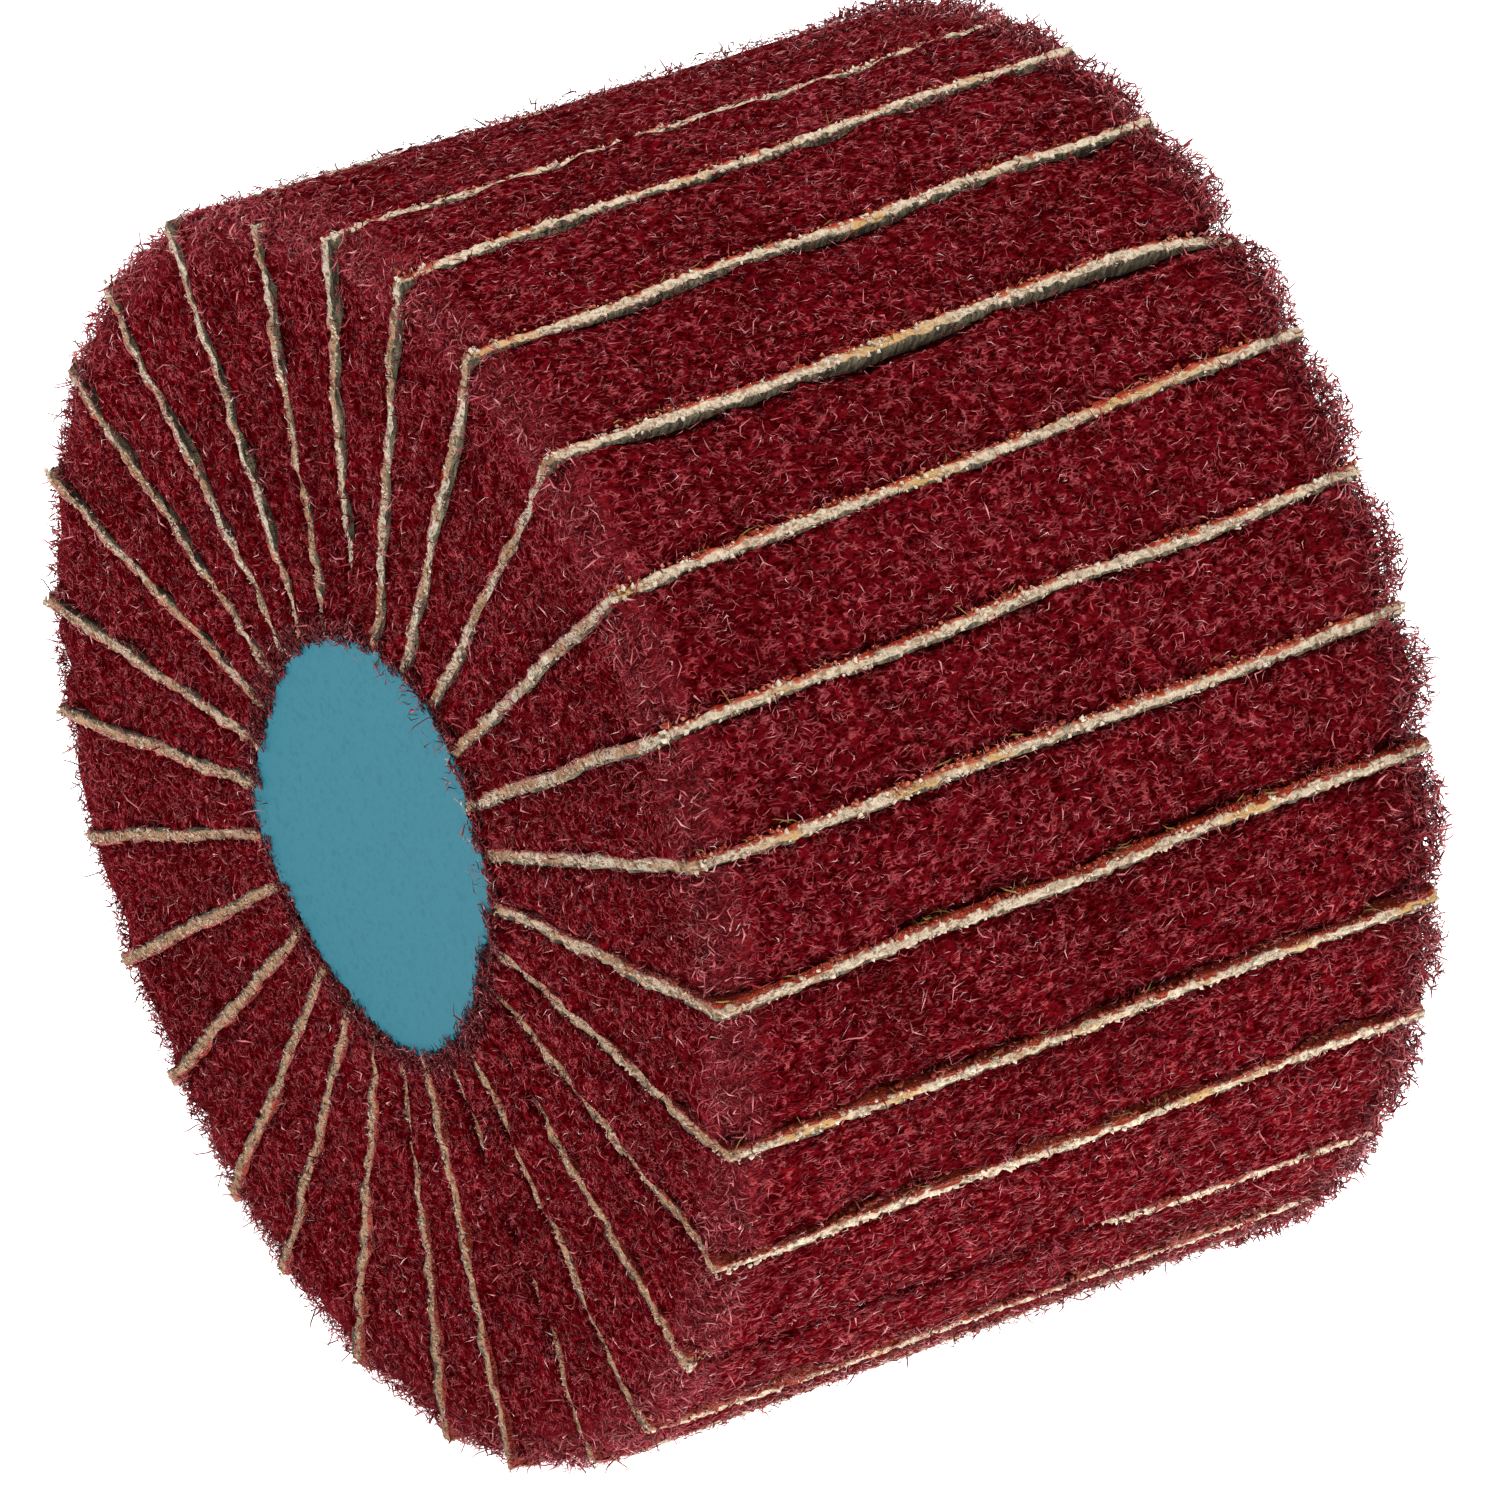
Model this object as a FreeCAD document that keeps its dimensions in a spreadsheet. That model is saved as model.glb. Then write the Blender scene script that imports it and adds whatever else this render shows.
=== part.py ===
import FreeCAD, Part
import math
import os
import Sketcher

# Interleaved flap wheel on a spindle, in millimetres.
# Abrasive cloth flaps and compressed fleece flaps stand in turn round a cast resin core.
# Their roots are notched, and the resin fills the notches, so that the wheel holds at speed.
# The spindle turns about +Y and leaves the back of the wheel towards +Y. The origin is on the
# spindle's axis, in the plane of the flaps' back edges, so the wheel fills Y from minus its
# width to 0. A fleece flap lies straight below the axis, and the wheel rests on the edges of
# the two cloth flaps beside it.

doc = FreeCAD.newDocument("flap_wheel")

# Driving dimensions
SIZES = {
    "wheel_dia": 80.0,
    "wheel_width": 50.0,
    "flap_count": 28,
    "cloth_thick": 0.9,
    "cloth_corner": 1.2,
    "fleece_drop": 0.7,
    "fleece_side_drop": 0.5,
    "fleece_edge_round": 1.8,
    "core_dia": 27.0,
    "core_recess": 0.5,
    "core_rim_depth": 3.0,
    "root_lip": 1.5,
    "root_hook": 1.8,
    "root_hook_depth": 2.5,
    "root_tail": 1.7,
    "root_clearance": 0.1,
    "spindle_dia": 6.0,
    "shank_length": 22.0,
    "spindle_embed": 40.0,
    "spindle_chamfer": 0.6,
    "groove_cover": 0.15,
    "groove_width": 3.0,
    "groove_depth": 0.7,
    "groove_pitch": 9.0,
    "groove_count": 2,
    "flat_length": 12.0,
    "flat_across": 4.6,
    "label_margin": 0.3,
    "label_thick": 0.3,
}

sheet = doc.addObject("Spreadsheet::Sheet", "Sizes")
for row, (alias, number) in enumerate(SIZES.items(), start=1):
    sheet.set(f"A{row}", alias)
    sheet.set(f"B{row}", str(number))
    sheet.setAlias(f"B{row}", alias)
doc.recompute()


class Size:
    """A length worked out from the sheet's cells: its formula, to bind, and its number now."""

    def __init__(self, formula, number):
        self.formula = formula
        self.number = number

    def __add__(self, other):
        return Size(f"({self.formula} + {other.formula})", self.number + other.number)

    def __sub__(self, other):
        return Size(f"({self.formula} - {other.formula})", self.number - other.number)

    def __neg__(self):
        return Size(f"(-1 * {self.formula})", -self.number)

    def __mul__(self, factor):
        return Size(f"({self.formula} * {factor})", self.number * factor)

    def __truediv__(self, factor):
        return Size(f"({self.formula} / {factor})", self.number / factor)


def cell(alias):
    return Size(f"Sizes.{alias}", float(sheet.get(alias)))


ZERO = Size("0", 0.0)
TINY = 1e-6
FLAP_COUNT = int(sheet.flap_count)

# Radii from the axis
WHEEL_R = cell("wheel_dia") / 2
FLEECE_R = WHEEL_R - cell("fleece_drop")
CORE_R = cell("core_dia") / 2
LIP_R = CORE_R - cell("root_lip")
HOOK_R = LIP_R - cell("root_hook")
TAIL_R = HOOK_R - cell("root_clearance")
ROOT_R = HOOK_R - cell("root_tail")
SPINDLE_R = cell("spindle_dia") / 2
WAIST_R = SPINDLE_R - cell("groove_depth")

# Places along the axis, from the plane of the flaps' back edges to that of their front edges
BACK = ZERO
FRONT = -cell("wheel_width")
CORE_BACK = BACK - cell("core_recess")
CORE_FRONT = FRONT
RIM_BACK = CORE_BACK - cell("core_rim_depth")
RIM_FRONT = CORE_FRONT + cell("core_rim_depth")
HOOK_BACK = RIM_BACK - cell("root_hook_depth")
HOOK_FRONT = RIM_FRONT + cell("root_hook_depth")
SPINDLE_END = BACK - cell("spindle_embed")
SHANK_END = BACK + cell("shank_length")

# Ends of a flap's root, as (distance from the axis, place along it) from the core's edge inwards.
# The resin has a rim over each end and a hook in each notch, so that no flap can fly out.
FRONT_STEPS = [
    (CORE_R, FRONT),
    (CORE_R, RIM_FRONT),
    (LIP_R, RIM_FRONT),
    (LIP_R, HOOK_FRONT),
    (TAIL_R, HOOK_FRONT),
    (TAIL_R, RIM_FRONT),
]
BACK_STEPS = [
    (CORE_R, BACK),
    (CORE_R, RIM_BACK),
    (LIP_R, RIM_BACK),
    (LIP_R, HOOK_BACK),
    (TAIL_R, HOOK_BACK),
    (TAIL_R, RIM_BACK),
]

# Angle between neighbouring flaps of one kind, and half of it as a formula and in radians
PITCH = 360 / FLAP_COUNT
HALF_PITCH_FORMULA = "(180 deg / Sizes.flap_count)"
HALF_PITCH = math.radians(PITCH / 2)


def new_body(label):
    body = doc.addObject("PartDesign::Body", label)
    body.Label = label
    return body


def new_sketch(body, name, plane):
    """A sketch on one of a body's own origin planes."""
    sketch = body.newObject("Sketcher::SketchObject", name)
    support = next(item for item in body.Origin.OriginFeatures if item.Role == plane)
    sketch.AttachmentSupport = (support, [""])
    sketch.MapMode = "FlatFace"
    return sketch


def hold(sketch, edge, end, kind, distance):
    """Binds one coordinate of an edge's end, measured from the sketch's origin."""
    axis = {"DistanceX": -2, "DistanceY": -1}[kind]
    if abs(distance.number) < TINY:
        sketch.addConstraint(Sketcher.Constraint("PointOnObject", edge, end, axis))
        return
    origin = (-1, 1)
    constraint = Sketcher.Constraint(kind, *origin, edge, end, distance.number)
    index = sketch.addConstraint(constraint)
    sketch.setExpression(f"Constraints[{index}]", distance.formula)


def add_loop(sketch, corners):
    """A closed outline of straight edges through corners, each a pair of sizes."""
    first = sketch.GeometryCount
    points = [FreeCAD.Vector(x.number, y.number, 0) for x, y in corners]
    for start, end in zip(points, points[1:] + points[:1]):
        sketch.addGeometry(Part.LineSegment(start, end), False)
    count = len(corners)
    for number, (x, y) in enumerate(corners):
        edge = first + number
        after = first + (number + 1) % count
        sketch.addConstraint(Sketcher.Constraint("Coincident", edge, 2, after, 1))
        hold(sketch, edge, 1, "DistanceX", x)
        hold(sketch, edge, 1, "DistanceY", y)


def turn_about_axis(body, name, outline):
    """A solid made by one full turn of an outline about the wheel's axis."""
    feature = body.newObject("PartDesign::Revolution", name)
    feature.Profile = outline
    feature.ReferenceAxis = (outline, ["V_Axis"])
    feature.Angle = 360
    body.Tip = feature
    return feature


def cut_through(body, solid, name, outline):
    """Cuts a sketch's loops out of a body, right through it to both sides of the sketch."""
    cut = body.newObject("PartDesign::Pocket", name)
    cut.Profile = outline
    cut.Type = "ThroughAll"
    cut.SideType = "Symmetric"
    doc.recompute()
    if cut.Shape.Volume > solid.Shape.Volume - TINY:
        raise SystemExit(f"{name} took nothing away")
    body.Tip = cut
    return cut


def turned(degrees):
    """The placement of a flap, which is drawn along local X and turned about the wheel's axis."""
    axis = FreeCAD.Vector(0, 1, 0)
    return FreeCAD.Placement(FreeCAD.Vector(), FreeCAD.Rotation(axis, degrees))


def cloth_flap(label, degrees):
    """A flat sheet of abrasive cloth with clipped outer corners and a notched root."""
    body = new_body(label)
    outline = new_sketch(body, label + "_outline", "XY_Plane")
    clipped = cell("cloth_corner")
    add_loop(
        outline,
        [(WHEEL_R, FRONT + clipped), (WHEEL_R - clipped, FRONT)]
        + FRONT_STEPS
        + [(ROOT_R, RIM_FRONT), (ROOT_R, RIM_BACK)]
        + BACK_STEPS[::-1]
        + [(WHEEL_R - clipped, BACK), (WHEEL_R, BACK - clipped)],
    )
    blade = body.newObject("PartDesign::Pad", label + "_blade")
    blade.Profile = outline
    blade.SideType = "Symmetric"
    blade.setExpression("Length", "Sizes.cloth_thick")
    body.Placement = turned(degrees)
    return body


def half_fleece(radius):
    """Half a fleece flap's thickness at some radius: it fills the room between two cloth flaps."""
    return Size(
        f"({radius.formula} * tan({HALF_PITCH_FORMULA})"
        f" - Sizes.cloth_thick / 2 / cos({HALF_PITCH_FORMULA}))",
        radius.number * math.tan(HALF_PITCH)
        - SIZES["cloth_thick"] / 2 / math.cos(HALF_PITCH),
    )


def fleece_flap(label, degrees):
    """A wedge of non-woven fleece, squeezed towards its root and rounded at its outer corners."""
    body = new_body(label)
    section = new_sketch(body, label + "_section", "XZ_Plane")
    section.setExpression("AttachmentOffset.Base.z", "Sizes.fleece_side_drop")
    inner = half_fleece(ROOT_R)
    outer = half_fleece(FLEECE_R)
    add_loop(section, [(FLEECE_R, outer), (ROOT_R, inner), (ROOT_R, -inner), (FLEECE_R, -outer)])
    wedge = body.newObject("PartDesign::Pad", label + "_wedge")
    wedge.Profile = section
    wedge.setExpression("Length", "Sizes.wheel_width - 2 * Sizes.fleece_side_drop")
    doc.recompute()
    steps = new_sketch(body, label + "_steps", "XY_Plane")
    add_loop(steps, FRONT_STEPS + [(ZERO, RIM_FRONT), (ZERO, FRONT)])
    add_loop(steps, BACK_STEPS + [(ZERO, RIM_BACK), (ZERO, BACK)])
    root = cut_through(body, wedge, label + "_root", steps)
    found = []
    for number, edge in enumerate(root.Shape.Edges, start=1):
        box = edge.BoundBox
        if box.XMin > FLEECE_R.number - TINY and box.YLength < TINY:
            found.append(f"Edge{number}")
    rounded = body.newObject("PartDesign::Fillet", label + "_rounded")
    rounded.Base = (root, found)
    rounded.setExpression("Radius", "Sizes.fleece_edge_round")
    body.Tip = rounded
    body.Placement = turned(degrees)
    return body


def spindle():
    """A steel rod, grooved and milled flat where the resin grips it, chamfered at its free end."""
    body = new_body("spindle")
    profile = new_sketch(body, "spindle_profile", "XY_Plane")
    corners = [(ZERO, SPINDLE_END), (SPINDLE_R, SPINDLE_END)]
    for number in reversed(range(int(sheet.groove_count))):
        near = CORE_BACK - cell("groove_cover") - cell("groove_pitch") * number
        far = near - cell("groove_width")
        corners += [(SPINDLE_R, far), (WAIST_R, far), (WAIST_R, near), (SPINDLE_R, near)]
    corners += [
        (SPINDLE_R, SHANK_END - cell("spindle_chamfer")),
        (SPINDLE_R - cell("spindle_chamfer"), SHANK_END),
        (ZERO, SHANK_END),
    ]
    add_loop(profile, corners)
    rod = turn_about_axis(body, "spindle_turned", profile)
    doc.recompute()
    flats = new_sketch(body, "spindle_flats", "XY_Plane")
    face = cell("flat_across") / 2
    clear = cell("spindle_dia")
    top = SPINDLE_END + cell("flat_length")
    add_loop(flats, [(face, SPINDLE_END), (clear, SPINDLE_END), (clear, top), (face, top)])
    add_loop(flats, [(-face, SPINDLE_END), (-face, top), (-clear, top), (-clear, SPINDLE_END)])
    cut_through(body, rod, "spindle_milled", flats)
    return body


def resin_core(rod):
    """The core, cast round the spindle: a rim at each end, and a hook into the roots' notches."""
    body = new_body("resin_core_casting")
    profile = new_sketch(body, "resin_core_profile", "XY_Plane")
    front = [
        (CORE_R, CORE_FRONT),
        (CORE_R, RIM_FRONT),
        (LIP_R, RIM_FRONT),
        (LIP_R, HOOK_FRONT),
        (HOOK_R, HOOK_FRONT),
        (HOOK_R, RIM_FRONT),
        (ROOT_R, RIM_FRONT),
    ]
    back = [
        (ROOT_R, RIM_BACK),
        (HOOK_R, RIM_BACK),
        (HOOK_R, HOOK_BACK),
        (LIP_R, HOOK_BACK),
        (LIP_R, RIM_BACK),
        (CORE_R, RIM_BACK),
        (CORE_R, CORE_BACK),
    ]
    add_loop(profile, [(ZERO, CORE_FRONT)] + front + back + [(ZERO, CORE_BACK)])
    turn_about_axis(body, "resin_core_cast", profile)
    core = doc.addObject("Part::Cut", "resin_core")
    core.Label = "resin_core"
    core.Base = body
    core.Tool = rod
    return core


def label_disc():
    """A thin bare disc of card, glued to the core's front face just inside its edge."""
    disc = doc.addObject("Part::Cylinder", "label_disc")
    disc.Label = "label_disc"
    disc.setExpression("Radius", (CORE_R - cell("label_margin")).formula)
    disc.setExpression("Height", "Sizes.label_thick")
    quarter_turn = FreeCAD.Rotation(FreeCAD.Vector(1, 0, 0), 90)
    disc.Placement = FreeCAD.Placement(FreeCAD.Vector(), quarter_turn)
    disc.setExpression("Placement.Base.y", CORE_FRONT.formula)
    return disc


# Flaps are numbered clockwise as seen from the front, from the fleece flap straight below
STRAIGHT_DOWN = 90
rod = spindle()
pieces = [rod, resin_core(rod), label_disc()]
for number in range(FLAP_COUNT):
    degrees = STRAIGHT_DOWN + number * PITCH
    pieces.append(fleece_flap(f"fleece_flap_{number + 1:02d}", degrees))
    pieces.append(cloth_flap(f"cloth_flap_{number + 1:02d}", degrees + PITCH / 2))
doc.recompute()

failed = [item.Name for item in doc.Objects if {"Invalid", "Error"} & set(item.State)]
if failed:
    raise SystemExit(f"these objects failed: {failed}")
for piece in pieces:
    if piece.Shape.isNull() or not piece.Shape.isValid():
        raise SystemExit(f"{piece.Label} has no valid shape")

os.makedirs("parts", exist_ok=True)
for piece in pieces:
    piece.Shape.exportStep(f"parts/{piece.Label}.step")
    print(f"{piece.Label}: {piece.Shape.Volume:.1f} mm3")
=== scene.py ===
import math
import bpy
import numpy as np
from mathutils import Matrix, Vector


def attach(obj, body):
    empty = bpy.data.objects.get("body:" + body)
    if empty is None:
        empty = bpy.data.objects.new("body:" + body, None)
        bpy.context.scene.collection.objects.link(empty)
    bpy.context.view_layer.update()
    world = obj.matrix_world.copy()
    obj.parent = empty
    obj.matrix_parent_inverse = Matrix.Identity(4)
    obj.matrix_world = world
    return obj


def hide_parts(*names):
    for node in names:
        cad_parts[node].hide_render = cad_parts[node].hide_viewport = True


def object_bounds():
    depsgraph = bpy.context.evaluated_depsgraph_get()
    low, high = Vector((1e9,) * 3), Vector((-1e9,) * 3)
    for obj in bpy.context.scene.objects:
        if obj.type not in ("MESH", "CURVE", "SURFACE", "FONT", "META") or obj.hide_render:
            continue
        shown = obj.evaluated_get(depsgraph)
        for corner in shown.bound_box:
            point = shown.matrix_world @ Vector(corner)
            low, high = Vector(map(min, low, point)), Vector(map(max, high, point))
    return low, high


# Frame
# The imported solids, in metres. The wheel's axis is Y, and its front face looks along -Y.
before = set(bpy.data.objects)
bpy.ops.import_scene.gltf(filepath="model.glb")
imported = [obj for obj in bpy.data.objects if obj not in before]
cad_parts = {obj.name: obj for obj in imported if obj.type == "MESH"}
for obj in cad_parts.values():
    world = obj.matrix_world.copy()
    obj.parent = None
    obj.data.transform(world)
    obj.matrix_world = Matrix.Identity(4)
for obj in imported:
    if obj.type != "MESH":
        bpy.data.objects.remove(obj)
cad_low, cad_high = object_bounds()
MM = 0.001
bpy.ops.object.select_all(action="DESELECT")

# Camera
# A long lens, above the wheel's right shoulder, as far round and as high as the photograph's.
CAMERA_AT = (0.56637, -0.37168, 0.32994)
AZIMUTH = math.radians(58.387)
ELEVATION = math.radians(26.515)
ROLL = math.radians(-2.775)
LENS = 287.9
SENSOR = 36
CLIP_START = 0.05
towards = Vector((
    -math.sin(AZIMUTH) * math.cos(ELEVATION),
    math.cos(AZIMUTH) * math.cos(ELEVATION),
    -math.sin(ELEVATION),
))
bpy.ops.object.camera_add(location=CAMERA_AT)
camera = bpy.context.object
camera.rotation_euler = towards.to_track_quat("-Z", "Y").to_euler()
camera.rotation_euler.rotate_axis("Z", ROLL)
camera.data.lens = LENS
camera.data.sensor_width = SENSOR
camera.data.clip_start = CLIP_START
bpy.context.scene.camera = camera
bpy.context.scene.view_settings.view_transform = "Standard"

# Floor and light
# A white table under the wheel, a broad lamp high overhead, and an even white room.
WHITE = (1, 1, 1, 1)
TABLE_GREY = (0.72, 0.72, 0.72, 1)
TABLE_SIZE = 6
TABLE_GLOW = 1.75
KEY_AT = Vector((0.0, 0.05, 1.1))
KEY_SIZE = 0.25
KEY_WATTS = 11.7
ROOM_LIGHT = 0.36


def shader_node(tree, kind, settings=None, values=(), **inputs):
    """A new node. An input is a plain value, the output of another node, or None to leave it be."""
    made = tree.nodes.new("ShaderNode" + kind)
    for name, value in (settings or {}).items():
        setattr(made, name, value)
    sockets = [(made.inputs[name.replace("_", " ")], value) for name, value in inputs.items()]
    sockets += list(zip(made.inputs, values))
    for socket, value in sockets:
        if isinstance(value, bpy.types.NodeSocket):
            tree.links.new(value, socket)
        elif value is not None:
            socket.default_value = value
    return made


def new_material(name):
    """A material with nodes, its node tree and its Principled node."""
    material = bpy.data.materials.new(name)
    material.use_nodes = True
    return material, material.node_tree, material.node_tree.nodes["Principled BSDF"]


bpy.ops.mesh.primitive_plane_add(size=TABLE_SIZE, location=(0, 0, cad_low.z))
table_top = bpy.context.object
table_top.name = "table_top"
white_table, tree, shader = new_material("white_table")
shader.inputs["Base Color"].default_value = TABLE_GREY
shader.inputs["Roughness"].default_value = 0.85
shader.inputs["Emission Color"].default_value = WHITE
shader.inputs["Emission Strength"].default_value = TABLE_GLOW
table_top.data.materials.append(white_table)

bpy.ops.object.light_add(type="AREA", location=KEY_AT)
key_lamp = bpy.context.object
key_lamp.rotation_euler = (-KEY_AT).to_track_quat("-Z", "Y").to_euler()
key_lamp.data.size = KEY_SIZE
key_lamp.data.energy = KEY_WATTS
room = bpy.data.worlds.new("white_room")
room.use_nodes = True
room.node_tree.nodes["Background"].inputs["Color"].default_value = WHITE
room.node_tree.nodes["Background"].inputs["Strength"].default_value = ROOM_LIGHT
bpy.context.scene.world = room

# Spindle
# A ground steel rod that the wheel is cast round, and that a collet grips. Its free end is chamfered.
STAINED_STEEL = (0.30, 0.29, 0.28, 1)
CLEAN_STEEL = (0.56, 0.56, 0.56, 1)
GRINDING_MARKS = (60, 9000, 60)


def surface_place(tree):
    """Where a point of the piece lies, in metres."""
    return shader_node(tree, "TexCoord").outputs["Object"]


def stretched(tree, place, scale):
    """A place, scaled by its own amount along each axis."""
    return shader_node(tree, "Mapping", Vector=place, Scale=scale).outputs["Vector"]


def noise(tree, place, scale, detail=2.0):
    """Soft noise over a place, from 0 to 1."""
    return shader_node(tree, "TexNoise", Vector=place, Scale=scale, Detail=detail).outputs["Fac"]


def stepped(tree, factor, stops):
    """A colour that runs through stops, each a position and a colour."""
    made = shader_node(tree, "ValToRGB", Fac=factor)
    elements = made.color_ramp.elements
    elements[0].position, elements[0].color = stops[0]
    elements[1].position, elements[1].color = stops[-1]
    for position, colour in stops[1:-1]:
        elements.new(position).color = colour
    return made.outputs["Color"]


def ramp(tree, factor, low, high, first=0.0, last=1.0):
    """The value first where a factor is below low, last above high, and between them in between."""
    values = (factor, low, high, first, last)
    return shader_node(tree, "MapRange", values=values).outputs["Result"]


def roughened(tree, shader, factor, low, high, start=0.0, end=1.0):
    """Roughness that runs from low to high while a factor runs from start to end."""
    tree.links.new(ramp(tree, factor, start, end, low, high), shader.inputs["Roughness"])


def bumped(tree, shader, height, strength, distance):
    """Fine relief, a distance in metres high where the height is 1."""
    made = shader_node(tree, "Bump", Height=height, Strength=strength, Distance=distance)
    tree.links.new(made.outputs["Normal"], shader.inputs["Normal"])


steel, tree, shader = new_material("ground_steel")
shader.inputs["Metallic"].default_value = 1.0
where = surface_place(tree)
marks = noise(tree, stretched(tree, where, GRINDING_MARKS), 1.0, 3.0)
stain = noise(tree, where, 160.0, 4.0)
tint = stepped(tree, stain, ((0.35, STAINED_STEEL), (0.6, CLEAN_STEEL)))
tree.links.new(tint, shader.inputs["Base Color"])
roughened(tree, shader, marks, 0.22, 0.42)
bumped(tree, shader, marks, 0.35, 0.00002)
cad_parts["spindle"].data.materials.clear()
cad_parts["spindle"].data.materials.append(steel)

# Abrasive cloth flaps
# Twenty-eight flat leaves of stiff cotton cloth, grit glued on one face with a brown resin. The cut
# edges show the cotton, cream and frayed. The roots are notched, and cast in the core.
FLAPS = 28
PITCH = 2 * math.pi / FLAPS
# In millimetres, as a flap's points are: out from the axis, along it and across the flap
WHEEL_R = 40.0
CORE_R = 13.5
CLOTH_THICK = 0.9
WHEEL_WIDTH = 50.0
MID_Y = -WHEEL_WIDTH / 2
FLOOR_GAP = 0.05
# The share of the pitch beside a cloth, on either side, that moves just as the cloth does
CLOTH_SHARE = 0.1
# How far each cloth's outer edge leans round the axis, in degrees, at its front and its back corner
FRONT_LEANS = [
    2.9, 3.4, 0.3, -0.1, -1.0, -1.9, -2.6, -4.5, -3.5, -3.3, -2.7, 1.1, 4.4, 4.0,
    1.6, 0.8, 0.7, 1.2, 0.8, -0.8, -0.9, 0.2, -0.5, -0.1, 0.4, -1.2, 1.2, 0.2,
]
BACK_LEANS = [
    -0.5, 0.6, -2.2, -2.6, -3.4, -3.6, -4.2, -5.6, -5.2, -5.0, -4.6, -1.4, 1.0, 0.7,
    -2.7, -2.6, -2.2, -2.7, -2.4, -2.9, -3.6, -1.9, -1.9, 1.5, 1.0, -1.5, -0.8, -2.0,
]
front_lean = np.radians(FRONT_LEANS)
back_lean = np.radians(BACK_LEANS)
# Each cloth is a little wavy: how deep its waves are, how long outwards and along, and their start
wave_rng = np.random.default_rng(5)
wave_size = wave_rng.uniform(0.1, 0.28, FLAPS)
wave_long = wave_rng.uniform(9, 16, FLAPS)
wave_start = wave_rng.uniform(0, 2 * math.pi, FLAPS)
wave_along = wave_rng.uniform(18, 40, FLAPS)


def cloth_swing(number, radius, along):
    """How far a cloth flap is bent round the wheel at each point, in radians."""
    number = number.astype(int) % FLAPS
    free = np.clip(1 - CORE_R / np.maximum(radius, 1), 0, 1)
    back_share = np.clip(1 + along / WHEEL_WIDTH, 0, 1)
    tip = (1 - back_share) * front_lean[number] + back_share * back_lean[number]
    straight = tip * free / (1 - CORE_R / WHEEL_R)
    phase = 2 * math.pi * (radius / wave_long[number] + along / wave_along[number])
    wave = wave_size[number] * np.sin(phase + wave_start[number]) * free / np.maximum(radius, 1)
    return straight + wave


def on_wheel(points, angle):
    """Points of a flap drawn along X, turned to its angle, leaned, kept off the floor, in metres."""
    out, along, across = np.asarray(points, float).T
    radius = np.hypot(out, across)
    round_it = angle - np.arctan2(across, out)
    steps = (round_it - math.pi / 2) / PITCH - 0.5
    lower = np.floor(steps)
    share = np.clip((steps - lower - CLOTH_SHARE) / (1 - 2 * CLOTH_SHARE), 0, 1)
    swing = (1 - share) * cloth_swing(lower, radius, along)
    swing += share * cloth_swing(lower + 1, radius, along)
    turned = round_it + swing
    height = np.maximum(-radius * np.sin(turned), cad_low.z / MM + FLOOR_GAP)
    return np.stack([radius * np.cos(turned), along, height], axis=1) * MM


def three_spokes(out, side):
    """Three directions round a fibre, a third of a turn apart."""
    ring = np.arange(3) * 2 * math.pi / 3
    spoke = out[:, None, :] * np.cos(ring)[None, :, None]
    return spoke + side[:, None, :] * np.sin(ring)[None, :, None]


def many(faces, count):
    """The triangles of many parts that are all alike, each with points of its own."""
    starts = np.arange(count) * (np.max(faces) + 1)
    return (starts[:, None, None] + np.array(faces)).reshape(-1, 3)


def short_fibres(centre, run, out, length, thick, arch, sway):
    """Short bent fibres, each a closed three-sided spindle: a ring with a point at either end."""
    side = np.cross(run, out)
    bend = out * arch[:, None] + side * sway[:, None]
    half = run * (length / 2)[:, None]
    middle = (centre + bend)[:, None, :] + three_spokes(out, side) * (thick / 2)[:, None, None]
    ends = [(centre - bend - half)[:, None, :], (centre - bend + half)[:, None, :]]
    points = np.concatenate([ends[0], middle, ends[1]], axis=1).reshape(-1, 3)
    faces = []
    for a in range(3):
        b = (a + 1) % 3
        faces += [(0, 1 + a, 1 + b), (1 + a, 4, 1 + b)]
    return points, many(faces, len(centre))


def fibre_ribs(centre, along, out, length, thick, lift, dip, sway):
    """Longer bent fibres, each a closed three-sided rod of two rings and two points.

    A fibre lies along a direction, arches outwards by lift and dips by dip at its ends.
    """
    side = np.cross(along, out)
    stations = []
    for share in (-0.5, -0.19, 0.19, 0.5):
        bow = (2 * share) ** 2
        reach = centre + along * (length * share)[:, None]
        reach = reach + out * (lift - dip * bow)[:, None]
        stations.append(reach + side * (sway * bow * np.sign(share) * np.abs(share) * 2)[:, None])
    points = [stations[0][:, None, :]]
    for station in stations[1:3]:
        points.append(station[:, None, :] + three_spokes(out, side) * (thick / 2)[:, None, None])
    points.append(stations[3][:, None, :])
    points = np.concatenate(points, axis=1).reshape(-1, 3)
    faces = []
    for a in range(3):
        b = (a + 1) % 3
        faces += [(0, 1 + a, 1 + b), (1 + a, 4 + a, 4 + b), (1 + a, 4 + b, 1 + b)]
        faces += [(4 + a, 7, 4 + b)]
    return points, many(faces, len(centre))


X, Y, Z = 0, 1, 2
ROOT_STEPS = {"lip": 12.0, "tail": 10.1, "end": 8.5}
RIM_Y = (-47.0, -3.5)
HOOK_Y = (-44.5, -6.0)


def chosen(kind, test):
    """Selects the vertices, edges or faces that pass a test, in edit mode, and nothing else."""
    bpy.ops.mesh.select_mode(type=kind)
    bpy.ops.mesh.select_all(action="DESELECT")
    bpy.ops.object.mode_set(mode="OBJECT")
    mesh = bpy.context.object.data
    parts = {"VERT": mesh.vertices, "EDGE": mesh.edges, "FACE": mesh.polygons}[kind]
    for part in parts:
        part.select = bool(test(part, mesh))
    bpy.ops.object.mode_set(mode="EDIT")


def edge_runs(edge, mesh, axis, low, high):
    """True if an edge runs along an axis and has a length between low and high."""
    run = mesh.vertices[edge.vertices[1]].co - mesh.vertices[edge.vertices[0]].co
    return abs(run[axis]) > 0.99 * run.length and low < run.length < high


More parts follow.
